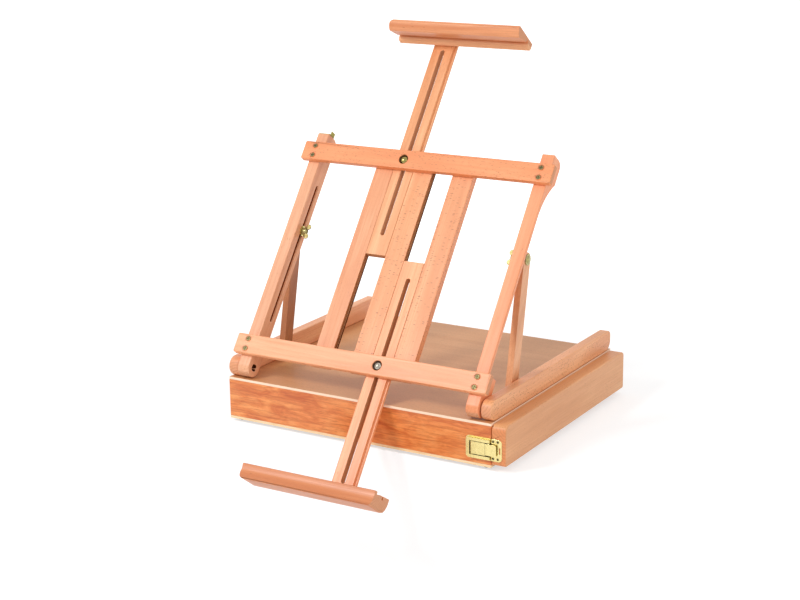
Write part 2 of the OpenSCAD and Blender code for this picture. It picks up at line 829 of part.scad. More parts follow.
module lower_mast() {
    mast(mast_x, lower_from, lower_to, lower_slot_from, lower_slot_to)
        translate([-mast_x, 0, 0]) at_ledge_screws()
            screw_hole(end_screw_head_d, screw_d, ledge_screw_l);
}

// Two screws side by side through a mast's end, in from the back
module at_holder_screws() {
    for (side = [-1, 1]) translate([side * end_screw_x - mast_x, mast_back, upper_to - end_screw_in])
        rotate([-90, 0, 0]) children();
}

module at_ledge_screws() {
    for (side = [-1, 1]) translate([side * end_screw_x + mast_x, mast_back, lower_from + end_screw_in])
        rotate([-90, 0, 0]) children();
}

module holder_screws() {
    color("goldenrod") on_frame() at_holder_screws()
        wood_screw(end_screw_head_d, screw_d, holder_screw_l);
}

module ledge_screws() {
    color("goldenrod") on_frame() at_ledge_screws()
        wood_screw(end_screw_head_d, screw_d, ledge_screw_l);
}

// The holder at the top: a thin nose that bulges at its front, a cove under it and a round strip
module top_holder() {
    top = upper_to + holder_over;
    left = holder_shift - holder_l / 2;
    nose_y = -half_d - holder_d;
    color("sandybrown") on_frame() intersection() {
        difference() {
            along_x(left, left + holder_l) difference() {
                translate([-half_d, top]) rotate(180) polygon([[0, 0], [holder_d, -1],
                    [holder_d + 1, 3], [holder_d - 0.8, 7], [holder_d - 3.4, 11],
                    [holder_d - 7, 13.2], [12.4, 6], [12.4, 8], [9.8, 11.2], [4.2, 12.2],
                    [1.6, 11], [0, 8]]);
                translate([-half_d - 15.2, top - 6]) circle(2.8);
            }
            at_holder_screws() screw_hole(end_screw_head_d, screw_d, holder_screw_l);
        }
        along_y(nose_y - 2, -half_d + over) round_box(left, top - 20, left + holder_l, top + 2,
            [4, 3, 1, 9]);
    }
}

// The ledge at the bottom: a raised front lip, a stepped rest with a kerf, a flared lower front
module canvas_ledge() {
    top = lower_from + ledge_over;
    low = top - ledge_h;
    left = ledge_shift - ledge_l / 2;
    color("sandybrown") on_frame() intersection() {
        difference() {
            along_x(left, left + ledge_l) translate([-half_d, 0]) difference() {
                polygon([[0, top], [0, top - 7], [-0.8, top - 11], [-3, top - 15.5],
                    [-6.5, top - 19.2], [-11, low + 0.6], [-16, low], [-ledge_d + 0.6, low],
                    [-ledge_d, low + 1.4], [-ledge_d + 2.6, low + 4.2], [-ledge_d + 5, low + 8],
                    [-ledge_d + 6.8, low + 13.4], [-ledge_d + 5.7, top - 0.8],
                    [-ledge_d + 6.4, top], [-ledge_d + 11.6, top], [-ledge_d + 12, top - 3],
                    [-ledge_d + 14.8, top - 4], [-ledge_d + 22, top - 1.6]]);
                translate([-18, top - 6.6]) rotate(18) square([2.6, 8]);
            }
            at_ledge_screws() screw_hole(end_screw_head_d, screw_d, ledge_screw_l);
        }
        along_y(-half_d - ledge_d - 1, -half_d + over)
            round_box(left, low, left + ledge_l, top + 1, [ledge_r, 3, 1, 1]);
    }
}

// Props behind the uprights, with their bolts, washers and wing nuts

module prop(side) {
    color("burlywood") on_prop() on_side(side) difference() {
        along_x(prop_in, prop_out)
            slot_shape(prop_w, -prop_l - prop_w / 2, prop_w / 2);
        rod_x(prop_in - over, prop_out + over, bolt_d + 2 * turn_gap);
        translate([0, 0, -prop_l]) rotate([0, -90, 0]) translate([0, 0, -prop_in])
            screw_hole(foot_head_d, bolt_d, 20);
    }
}

// A flange and a domed head outside the prop, and a shank through the prop and the upright's slot
// that ends inside the wing nut
module prop_bolt(side) {
    flange_x = prop_out + 0.3;
    dome_x = flange_x + prop_head_h - 2;
    dome_r = prop_head_d * 0.9;
    dome_h = dome_r - sqrt(dome_r * dome_r - prop_head_d * prop_head_d / 4);
    color("gold") on_prop() on_side(side) {
        rod_x(prop_nut_x - wing_hub_h + 1.2, flange_x + over, bolt_d);
        rod_x(flange_x, dome_x, prop_flange_d);
        translate([dome_x - over, 0, 0]) rotate([0, 90, 0]) intersection() {
            cylinder(d = prop_head_d, h = min(dome_h, 2));
            translate([0, 0, dome_h - dome_r]) sphere(dome_r);
        }
    }
}

module prop_washer(side) {
    color("gold") on_prop() on_side(side) difference() {
        rod_x(in_x - washer_gap - washer_t, in_x - washer_gap, washer_d);
        rod_x(in_x - 3, in_x, bolt_d + 2 * turn_gap);
    }
}

// A wing nut inside an upright, with its wings along the upright
module side_wing_nut(side) {
    color("gold") on_frame() on_side(side) translate([prop_nut_x, slot_back, bolt_at])
        rotate([0, -90, 90]) wing_nut();
}

// The stud at a prop's foot: sunk head inside, a collar between the prop and the rail
module foot_screw(side) {
    end = rail_in - 0.3;
    color("goldenrod") on_prop() on_side(side) translate([0, 0, -prop_l]) {
        translate([prop_in, 0, 0]) rotate([0, -90, 0]) wood_screw(foot_head_d, bolt_d,
            end - prop_in);
        difference() {
            rod_x(prop_out + 0.1, end, foot_collar_d);
            rod_x(prop_out, end + over, bolt_d);
        }
    }
}

// A small brass tongue on the left upright's head, which holds the folded frame at the back
module fold_catch() {
    color("gold") on_frame() difference() {
        union() {
            translate([-in_x - upright_w, -half_d + 2, upright_l]) cube([upright_w, 9, 1]);
            translate([-in_x - 1, -half_d + 5, upright_l]) cube([1, 9, 6.5]);
        }
        at_fold_catch_screws() screw_hole(fold_screw[0], fold_screw[1], fold_screw[2]);
    }
}

module at_fold_catch_screws() {
    for (x = [-5.5, 3]) translate([-(in_x + out_x) / 2 + x, -half_d + 6.5, upright_l + 1])
        children();
}

bottom_panel();
top_panel();
front_panel();
back_panel();
left_end_panel();
drawer_runners();
drawer_stop();
rail("left");  // left_rail
rail("right");  // right_rail
rail_screws();
glide_feet();
pivot_bolts();
pivot_washers();
latch_base();
latch_pin();
latch_screws();
latch_leaf();
latch_hook();
latch_catch();
catch_screws();
drawer_front();
drawer_side(-drawer_y);  // drawer_near_side
drawer_side(drawer_y - side_t);  // drawer_far_side
drawer_inner_end();
drawer_bottom();
drawer_long_divider();
drawer_cross_dividers();
upright("left");  // left_upright
upright("right");  // right_upright
crossbar(bar_low, mast_x);  // lower_crossbar
crossbar(bar_high, -mast_x);  // upper_crossbar
crossbar_screws();
guide_board(-outer_x - left_w, -outer_x, false, true);  // left_guide_board
guide_board(-middle_w / 2, middle_w / 2, true, true);  // middle_guide_board
guide_board(outer_x, outer_x + right_w, true, false);  // right_guide_board
board_screws();
color("gold") clamp_bolt(bar_high, -mast_x);  // upper_clamp_bolt
color("silver") clamp_bolt(bar_low, mast_x);  // lower_clamp_bolt
clamp_washers();
clamp_nut(bar_high, -mast_x);  // upper_clamp_nut
clamp_nut(bar_low, mast_x);  // lower_clamp_nut
upper_mast();
top_holder();
holder_screws();
lower_mast();
canvas_ledge();
ledge_screws();
prop("left");  // left_prop
prop("right");  // right_prop
prop_bolt("left");  // left_prop_bolt
prop_bolt("right");  // right_prop_bolt
prop_washer("left");  // left_prop_washer
prop_washer("right");  // right_prop_washer
side_wing_nut("left");  // left_wing_nut
side_wing_nut("right");  // right_wing_nut
foot_screw("left");  // left_foot_screw
foot_screw("right");  // right_foot_screw
fold_catch();
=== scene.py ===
"""Looks of the table box easel: varnished beech, plywood, brass and steel, in studio light."""
import json
import math

import bmesh
import bpy
from mathutils import Matrix, Vector


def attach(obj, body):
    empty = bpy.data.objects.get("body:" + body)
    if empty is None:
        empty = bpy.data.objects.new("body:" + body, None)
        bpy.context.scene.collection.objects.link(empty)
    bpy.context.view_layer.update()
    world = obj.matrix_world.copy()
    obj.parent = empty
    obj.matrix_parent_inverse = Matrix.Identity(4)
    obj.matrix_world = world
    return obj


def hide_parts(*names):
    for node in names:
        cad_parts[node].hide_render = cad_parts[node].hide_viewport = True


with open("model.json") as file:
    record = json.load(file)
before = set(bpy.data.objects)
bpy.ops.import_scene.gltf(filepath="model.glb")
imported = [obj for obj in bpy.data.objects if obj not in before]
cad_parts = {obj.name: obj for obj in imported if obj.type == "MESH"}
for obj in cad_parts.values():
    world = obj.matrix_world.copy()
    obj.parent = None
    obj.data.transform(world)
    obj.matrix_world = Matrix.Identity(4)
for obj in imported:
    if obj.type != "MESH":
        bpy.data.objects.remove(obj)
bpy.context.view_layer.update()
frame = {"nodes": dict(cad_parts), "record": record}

MM = 0.001
BODY_OF = {n: b for b, members in frame["record"]["behaviour"]["bodies"].items() for n in members}
SLOT_OF = {s["node"]: s["material_slot"] for s in frame["record"]["subparts"]}

# Where the tilting frame stands: its pivot, and how far it leans back
LEAN = math.radians(36.82)
PIVOT = Vector((0.0, -0.170, 0.077))
UP = Vector((0.0, math.sin(LEAN), math.cos(LEAN)))

# Figure of the beech: each pattern's size in mm across and along the grain
BANDS = (20, 240)
LINES = (1.5, 90)
PORES = (0.5, 4.5)
END_SPECKS = (1, 1)
RING_WANDER = (34, 300)
RAY_GROUPS = (14, 50)
# How much of a pattern shows where it is strongest, from 0 to 1
RINGS_SHOW, LINES_SHOW, PORES_SHOW, RAYS_SHOW = 0.34, 0.55, 0.34, 0.75
END_RINGS_SHOW, END_SPECKS_SHOW = 0.4, 0.35
# Varnish on the beech: its weight, its roughness, the wood's own sheen, and cut ends that stay dull
VARNISH, VARNISH_ROUGH, SHEEN = 0.12, 0.28, 0.5
WOOD_ROUGH, END_ROUGH = 0.4, 0.6

# Radius of a crossbar's sunk hole for its clamp bolt, and half the width of its soft edge, in mm
SUNK_R, SUNK_EDGE = 6.7, 0.14
# The sunk hole's colour: painted shade, partly the darker end grain of its walls
SUNK_SHADE_AND_END_GRAIN = "#5E3A22"
# Height of a guide board's ends, in mm up the frame, drawn in a little
BOARD_LOW, BOARD_HIGH = 14.9, 327.8
# The steps of a guide board's grooved side: depth into the wood, front, back (mm) and painted shade
# colour
GROOVE_SHADE_STEPS = (
    (0.2, -12.0, -9.6, "#B56A3C"),    # front lip
    (3.7, -9.6, -5.6, "#3A1A0A"),     # groove
    (0.2, -5.6, -2.9, "#6A381C"),     # back lip
)
# Middle of an upright's slot across the frame, in mm
UPRIGHT_SLOT_X = 169.6

# The stage in metres: its half size, the tabletop under the glides and its front edge, the floor
STAGE_SIZE = 6.0
TABLE_Z = -0.0005
TABLE_EDGE = -0.178
FLOOR_Z = -0.18
# Its colour where it is seen and where it lights the easel, and its own white by the distance in m
STAGE_SEEN, STAGE_LIGHTS = "#B8B8B8", "#F4F4F4"
STAGE_GLOW = ((0.35, 0.6), (0.85, 1.0))
WORLD_LIGHT = 0.55

# Lamps: place in m, size in m, power in W, all turned to one point
LAMPS = {
    "key": ((-1.6, -2.6, 2.6), 0.8, 65),
    "fill": ((2.8, -1.2, 1.6), 2.4, 26),
    "top": ((0.2, 1.2, 3.0), 2.0, 10),
}
LAMP_TARGET = Vector((0.0, 0.0, 0.2))

# The camera that was fitted to the easel's corners: place in m, angles in degrees, lens in mm
CAMERA_PLACE = (1.14574, -1.97395, 0.78365)
CAMERA_YAW, CAMERA_PITCH, CAMERA_ROLL = 30.9283, 15.474, -0.7882
CAMERA_LENS = 78.02
CAMERA_SENSOR = 36

# Width in mm by which a piece's sharp edges are taken off
EASED_WOOD = {
    "left_upright": 1.0, "right_upright": 1.0, "lower_crossbar": 1.3, "upper_crossbar": 1.3,
    "left_guide_board": 0.5, "middle_guide_board": 0.4, "right_guide_board": 0.5,
    "upper_mast": 0.35, "lower_mast": 0.35, "top_holder": 0.6, "canvas_ledge": 0.6,
    "left_prop": 0.2, "right_prop": 0.2, "drawer_front": 1.6, "left_rail": 1.8, "right_rail": 1.8,
    "front_panel": 0.15, "back_panel": 0.15, "left_end_panel": 0.15, "top_panel": 0.5,
    "bottom_panel": 0.5,
}
EASED_METAL = {
    "latch_hook": 0.2, "latch_catch": 0.35, "left_wing_nut": 0.5, "right_wing_nut": 0.5,
    "upper_clamp_nut": 0.5, "lower_clamp_nut": 0.5,
}
EASED_FROM = math.radians(32)      # edges at a wider turn than this are eased
FLAT_WITHIN = math.radians(0.4)    # faces closer than this to one plane are joined


# Small tools

def srgb(code):
    """An sRGB hex colour as linear RGBA: c / 12.92 below 0.04045, and above it c plus 0.055,
    divided by 1.055, to the power of 2.4."""
    parts = [int(code[i:i + 2], 16) / 255 for i in (1, 3, 5)]
    linear = [c / 12.92 if c < 0.04045 else ((c + 0.055) / 1.055) ** 2.4 for c in parts]
    return (*linear, 1.0)


def put(tree, socket, value):
    """Gives an input its value, or links it to the socket that makes it."""
    if isinstance(value, bpy.types.NodeSocket):
        tree.links.new(value, socket)
    else:
        socket.default_value = value


def node_add(tree, kind, settings=None, **links):
    """Adds a node. settings are its attributes. links name its inputs, i0 being the first, and
    give each a value or a socket."""
    node = tree.nodes.new("ShaderNode" + kind)
    for key, value in (settings or {}).items():
        setattr(node, key, value)
    for key, value in links.items():
        number = key[0] == "i" and key[1:].isdigit()
        put(tree, node.inputs[int(key[1:]) if number else key.replace("_", " ")], value)
    return node


def ramp(tree, factor, stops):
    """A colour ramp over a factor, from a list of (place, colour or grey)."""
    node = node_add(tree, "ValToRGB", i0=factor)
    elements = node.color_ramp.elements
    while len(elements) < len(stops):
        elements.new(0.5)
    for element, (place, colour) in zip(elements, stops):
        element.position = place
        element.color = srgb(colour) if isinstance(colour, str) else (colour, colour, colour, 1)
    return node.outputs[0]


def calc(tree, operation, a, b=0.0):
    """A Math node's value."""
    return node_add(tree, "Math", {"operation": operation}, i0=a, i1=b).outputs[0]


def times(tree, a, b):
    """The product of a and b."""
    return calc(tree, "MULTIPLY", a, b)


def mix(tree, factor, a, b):
    """A colour mix: a where the factor is nought, b where it is one."""
    a, b = (srgb(v) if isinstance(v, str) else v for v in (a, b))
    return node_add(tree, "Mix", {"data_type": "RGBA"}, i0=factor, i6=a, i7=b).outputs[2]


def vector_calc(tree, operation, a, b=(0.0, 0.0, 0.0)):
    """A number that a Vector Math node makes from two vectors, or from the first one alone."""
    return node_add(tree, "VectorMath", {"operation": operation}, i0=a, i1=b).outputs["Value"]


def mapped(tree, place, **links):
    """A place, scaled and moved by a Mapping node."""
    return node_add(tree, "Mapping", Vector=place, **links).outputs[0]


def object_place(tree):
    """Object coordinates: metres in the easel's shared frame."""
    return node_add(tree, "TexCoord").outputs["Object"]


def object_normal(tree):
    """The surface's direction in the easel's shared frame."""
    return node_add(tree, "TexCoord").outputs["Normal"]


def inside(tree, place, low, high):
    """One between two corners, nought outside them."""
    parts = node_add(tree, "SeparateXYZ", i0=place).outputs
    product = 1.0
    for axis in range(3):
        above = calc(tree, "GREATER_THAN", parts[axis], low[axis])
        below = calc(tree, "LESS_THAN", parts[axis], high[axis])
        product = times(tree, product, times(tree, above, below))
    return product


def start_material(name):
    """A new node material with its tree and its Principled shader."""
    material = bpy.data.materials.new(name)
    material.use_nodes = True
    tree = material.node_tree
    return material, tree, tree.nodes["Principled BSDF"]


def dress(tree, shader, colour, bump, **values):
    """Sets a Principled shader: its colour, its bump (height, strength, depth in mm) and the
    other inputs that values name, each by a value or a socket."""
    height, strength, depth = bump
    normal = node_add(tree, "Bump", Strength=strength, Distance=depth * MM, Height=height)
    for key, value in dict(values, Base_Color=colour, Normal=normal.outputs[0]).items():
        put(tree, shader.inputs[key.replace("_", " ")], value)


def noise(tree, place, detail=3.0, roughness=0.55, distortion=0.0):
    """Fractal noise of unit size over a place that is already scaled."""
    return node_add(tree, "TexNoise", Vector=place, Scale=1.0, Detail=detail,
                    Roughness=roughness, Distortion=distortion).outputs[0]


def stretched(tree, place, across, along):
    """Coordinates scaled so that a pattern of unit size is across mm wide and along mm long."""
    return mapped(tree, place, Scale=(1 / across, 1 / across, 1 / along))


# Wood

def piece_space(tree, on_frame):
    """Object coordinates; on the leaning frame they are measured from its pivot and turned
    upright."""
    place = object_place(tree)
    if on_frame:
        place = node_add(tree, "Mapping", {"vector_type": "TEXTURE"}, Vector=place,
                         Location=PIVOT, Rotation=(-LEAN, 0, 0)).outputs[0]
    return place


def grain_space(tree, place, along, shift=(0.0, 0.0, 0.0)):
    """A place in millimetres, turned so that the grain runs along Z."""
    parts = node_add(tree, "SeparateXYZ", i0=place).outputs
    x, y, z = (parts[i] for i in {"X": (1, 2, 0), "Y": (0, 2, 1), "Z": (0, 1, 2)}[along])
    turned = node_add(tree, "CombineXYZ", i0=x, i1=y, i2=z).outputs[0]
    return mapped(tree, turned, Scale=(1 / MM,) * 3, Location=shift)


def end_grain_mask(tree, along, on_frame):
    """One on faces that are cut across the grain, nought elsewhere: it rises where the surface
    turns to within about 40 degrees of the grain."""
    grain = {"X": Vector((1, 0, 0)), "Y": Vector((0, 1, 0)),
             "Z": UP if on_frame else Vector((0, 0, 1))}[along]
    turn = vector_calc(tree, "DOT_PRODUCT", object_normal(tree), grain)
    return ramp(tree, calc(tree, "ABSOLUTE", turn), ((0.72, 0.0), (0.86, 1.0)))


def year_rings(tree, place, pith, width):
    """Growth rings as a value from 0 to 1. The distance from the pith, made uneven by slow noise
    of 5 widths, is divided by the width of a ring in mm. The fraction that is left over rises
    slowly and falls fast."""
    radius = vector_calc(tree, "LENGTH", mapped(tree, place, Location=(-pith[0], -pith[1], 0.0),
                                                Scale=(1, 1, 0)))
    wander = times(tree, noise(tree, stretched(tree, place, *RING_WANDER), 2.0, 0.5), 5.0 * width)
    rings = calc(tree, "FRACT", times(tree, calc(tree, "ADD", radius, wander), 1 / width))
    return ramp(tree, rings, ((0.0, 0.1), (0.45, 0.25), (0.88, 1.0), (1.0, 0.1)))


def ray_flecks(tree, place, across, along, share):
    """The short dark rays that mark out beech: lens-shaped cells, gathered in loose groups. A
    cell shows where half its own chance and half its group's come above a limit set by share."""
    cell = node_add(tree, "TexVoronoi", Vector=stretched(tree, place, across, along), Scale=1.0)
    spot = ramp(tree, cell.outputs["Distance"], ((0.2, 1.0), (0.44, 0.0)))
    choice = node_add(tree, "SeparateColor", i0=cell.outputs["Color"]).outputs[0]
    group = noise(tree, stretched(tree, place, *RAY_GROUPS), 2.0)
    chance = calc(tree, "ADD", times(tree, choice, 0.5), times(tree, group, 0.5))
    shown = ramp(tree, chance, ((0.84 - share, 0.0), (0.88 - share, 1.0)))
    return times(tree, spot, shown)


def grooved(*sides):
    """Painted shade on a guide board's grooved sides, as boxes in the frame's millimetres. A
    side is given by its place across and its way into the wood, 1 or -1."""
    boxes = []
    for x, into in sides:
        for depth, front, back, shade in GROOVE_SHADE_STEPS:
            near, far = sorted((x - 0.1 * into, x + depth * into))
            boxes.append(((near, front, BOARD_LOW), (far, back, BOARD_HIGH), shade))
    return boxes


def upright_slot(side):
    """Painted shade in an upright, in the frame's millimetres: in its long slot and in its pivot
    hole."""
    x = side * UPRIGHT_SLOT_X
    return [((x - 1.8, -0.9, 67.9), (x + 1.8, 5.9, 274.1), "#7A3514"),
            ((x - 4.4, -4.6, -4.6), (x + 4.4, 4.6, 4.6), "#4A2412")]


def end_grain(tree, place, rings, end, fleck):
    """The colour of a cut end: browner, with its rings plain to see and speckled by the pores."""
    colour = mix(tree, times(tree, rings, END_RINGS_SHOW), end, fleck)
    speck = node_add(tree, "TexVoronoi", Vector=stretched(tree, place, *END_SPECKS), Scale=1.0)
    specks = ramp(tree, speck.outputs["Distance"], ((0.1, END_SPECKS_SHOW), (0.4, 0.0)))
    return mix(tree, specks, colour, fleck)


def sunk_hole(tree, at, hole):
    """One inside the clamp bolt's sunk hole, whose middle is given in mm across and up."""
    flat = mapped(tree, at, Scale=(1, 0, 1))
    away = vector_calc(tree, "DISTANCE", flat, (hole[0] * MM, 0.0, hole[1] * MM))
    reach = 20
    return ramp(tree, times(tree, away, 1 / (reach * MM)),
                (((SUNK_R - SUNK_EDGE) / reach, 1.0), ((SUNK_R + SUNK_EDGE) / reach, 0.0)))


def beech(name, along, tones, on_frame=True, fleck="#B0673A", end="#D8966B",
          shift=(0.0, 0.0, 0.0), pith=(30.0, 70.0), ring=3.4, rays=(1.2, 6.0), share=0.08,
          hole=None, dark=()):
    """Steamed beech, planed and varnished, in a pale, a middle and a deep tone. It shows soft
    bands 20 mm wide, growth rings 3 mm apart, hair-fine pores, and ray flecks 2 to 4 mm long. A
    quarter-sawn face has them across its grain. dark lists boxes of the frame's space in mm that
    get painted shade or painted light, with its colour and, if it is less than all, how much of
    it shows; they have no varnish or sheen."""
    material, tree, shader = start_material(name)
    pale, middle, deep = tones
    at = piece_space(tree, on_frame)
    place = grain_space(tree, at, along, shift)
    bands = noise(tree, stretched(tree, place, *BANDS), 3.0, 0.55, 0.35)
    colour = ramp(tree, bands, ((0.32, pale), (0.5, middle), (0.7, deep)))
    rings = year_rings(tree, place, pith, ring)
    colour = mix(tree, times(tree, rings, RINGS_SHOW), colour, deep)
    lines = noise(tree, stretched(tree, place, *LINES), 4.0, 0.62)
    colour = mix(tree, ramp(tree, lines, ((0.46, 0.0), (0.72, LINES_SHOW))), colour, deep)
    pores = noise(tree, stretched(tree, place, *PORES), 1.0)
    colour = mix(tree, ramp(tree, pores, ((0.58, 0.0), (0.76, PORES_SHOW))), colour, fleck)
    spots = ray_flecks(tree, place, *rays, share)
    colour = mix(tree, times(tree, spots, RAYS_SHOW), colour, fleck)
    cut = end_grain_mask(tree, along, on_frame)
    colour = mix(tree, cut, colour, end_grain(tree, place, rings, end, fleck))
    # Painted shade in the clamp bolt's sunk hole, partly the darker end grain of its walls
    if hole:
        colour = mix(tree, sunk_hole(tree, at, hole), colour, SUNK_SHADE_AND_END_GRAIN)
    varnish, sheen = VARNISH, SHEEN
    if dark:
        # These places get painted shade or painted light in their colour, and no varnish or sheen
        here = mapped(tree, at, Scale=(1 / MM,) * 3)
        outside_painted_boxes = 1.0
        for low, high, shade, *part in dark:
            painted_box = inside(tree, here, low, high)
            colour = mix(tree, times(tree, painted_box, part[0] if part else 1.0), colour, shade)
            outside_painted_boxes = times(tree, outside_painted_boxes, calc(tree, "SUBTRACT", 1.0, painted_box))
        varnish, sheen = times(tree, outside_painted_boxes, VARNISH), times(tree, outside_painted_boxes, SHEEN)
    rough = ramp(tree, lines, ((0.3, WOOD_ROUGH - 0.05), (0.7, WOOD_ROUGH + 0.1)))
    rough = mix(tree, cut, rough, (END_ROUGH, END_ROUGH, END_ROUGH, 1))
    dress(tree, shader, colour, (lines, 0.1, 0.12), Roughness=rough, Coat_Weight=varnish,
          Coat_Roughness=VARNISH_ROUGH, Specular_IOR_Level=sheen)
    return material


def red_front():
    """The front board, flat-sawn beech under a reddish varnish: long arches of darker figure,
    clouds 15 by 42 mm, and streaks 3 mm wide."""
    material, tree, shader = start_material("red_varnished_flat_sawn_beech")
    place = grain_space(tree, piece_space(tree, False), "X", (3.0, 0.0, 40.0))
    flame = year_rings(tree, place, (-150.0, 62.0), 10.0)
    cloud = noise(tree, stretched(tree, place, 15, 42), 3.0, 0.6, 0.8)
    colour = ramp(tree, cloud, ((0.34, "#F8A259"), (0.5, "#EE8D45"), (0.66, "#D26829")))
    colour = mix(tree, times(tree, flame, 0.5), colour, "#C45B22")
    streaks = noise(tree, stretched(tree, place, 2.6, 38), 4.0, 0.65, 0.6)
    colour = mix(tree, ramp(tree, streaks, ((0.48, 0.0), (0.72, 0.7))), colour, "#B24E1B")
    colour = mix(tree, ramp(tree, streaks, ((0.28, 0.4), (0.42, 0.0))), colour, "#F39C58")
    pores = noise(tree, stretched(tree, place, 0.6, 7.0), 1.0)
    colour = mix(tree, ramp(tree, pores, ((0.56, 0.0), (0.74, 0.4))), colour, "#A34E22")
    dress(tree, shader, colour, (streaks, 0.1, 0.2), Roughness=0.36, Coat_Weight=0.2,
          Coat_Roughness=0.22)
    return material


def plywood(name, face, face_deep, edge, edge_deep):
    """Beech-faced plywood, sanded: a calm rotary-cut face with bands 24 mm wide, and paler edges
    of plies 1 mm thick."""
    material, tree, shader = start_material(name)
    place = grain_space(tree, piece_space(tree, False), "X")
    bands = noise(tree, stretched(tree, place, 24, 300))
    colour = ramp(tree, bands, ((0.3, face), (0.7, face_deep)))
    lines = noise(tree, stretched(tree, place, 1.3, 50))
    colour = mix(tree, ramp(tree, lines, ((0.5, 0.0), (0.74, 0.28))), colour, "#A9744E")
    flecks = ray_flecks(tree, place, 1.5, 4.0, 0.5)
    colour = mix(tree, times(tree, flecks, 0.3), colour, "#9C6844")
    up = node_add(tree, "SeparateXYZ", i0=object_normal(tree)).outputs[2]
    sides = ramp(tree, calc(tree, "ABSOLUTE", up), ((0.5, 1.0), (0.8, 0.0)))
    layers = noise(tree, stretched(tree, place, 1.1, 30))
    colour = mix(tree, sides, colour, ramp(tree, layers, ((0.4, edge), (0.7, edge_deep))))
    dress(tree, shader, colour, (lines, 0.08, 0.2), Roughness=0.45, Coat_Weight=0.08,
          Coat_Roughness=0.35)
    return material


def softwood():
    """Bare drawer wood: pale, dry and matt, with straight grain along X."""
    material, tree, shader = start_material("bare_pale_wood")
    place = grain_space(tree, piece_space(tree, False), "X")
    lines = noise(tree, stretched(tree, place, 3.5, 180))
    colour = ramp(tree, lines, ((0.35, "#F0D9B4"), (0.65, "#D9B98C")))
    dress(tree, shader, colour, (lines, 0.15, 0.2), Roughness=0.7)
    return material


# Metal and nylon

def fine_space(tree, size):
    """Object coordinates in steps of size mm."""
    return mapped(tree, object_place(tree), Scale=(1 / (size * MM),) * 3)


def metal(name, base, worn, roughness, size=4.0, sunk=None):
    """Plated or polished metal. Handling leaves soft marks some millimetres wide that vary its
    roughness a little. A sunk place, given as two corners in metres, is darkened with painted
    shade."""
    material, tree, shader = start_material(name)
    cloud = noise(tree, fine_space(tree, size), 3.0, 0.6)
    colour = ramp(tree, cloud, ((0.35, base), (0.75, worn)))
    if sunk:
        # Painted shade in the sunk place
        colour = mix(tree, inside(tree, object_place(tree), *sunk), colour, "#4A3D14")
    rough = ramp(tree, cloud, ((0.3, roughness - 0.04), (0.7, roughness + 0.06)))
    dress(tree, shader, colour, (cloud, 0.03, 0.1), Roughness=rough, Metallic=1.0)
    return material


def nylon():
    """Dark moulded nylon: matt, with a fine mould grain of 0.4 mm."""
    material, tree, shader = start_material("dark_moulded_nylon")
    grain = noise(tree, fine_space(tree, 0.4), 2.0)
    colour = ramp(tree, grain, ((0.3, "#5A544E"), (0.7, "#6E675F")))
    dress(tree, shader, colour, (grain, 0.2, 0.1), Roughness=0.6)
    return material


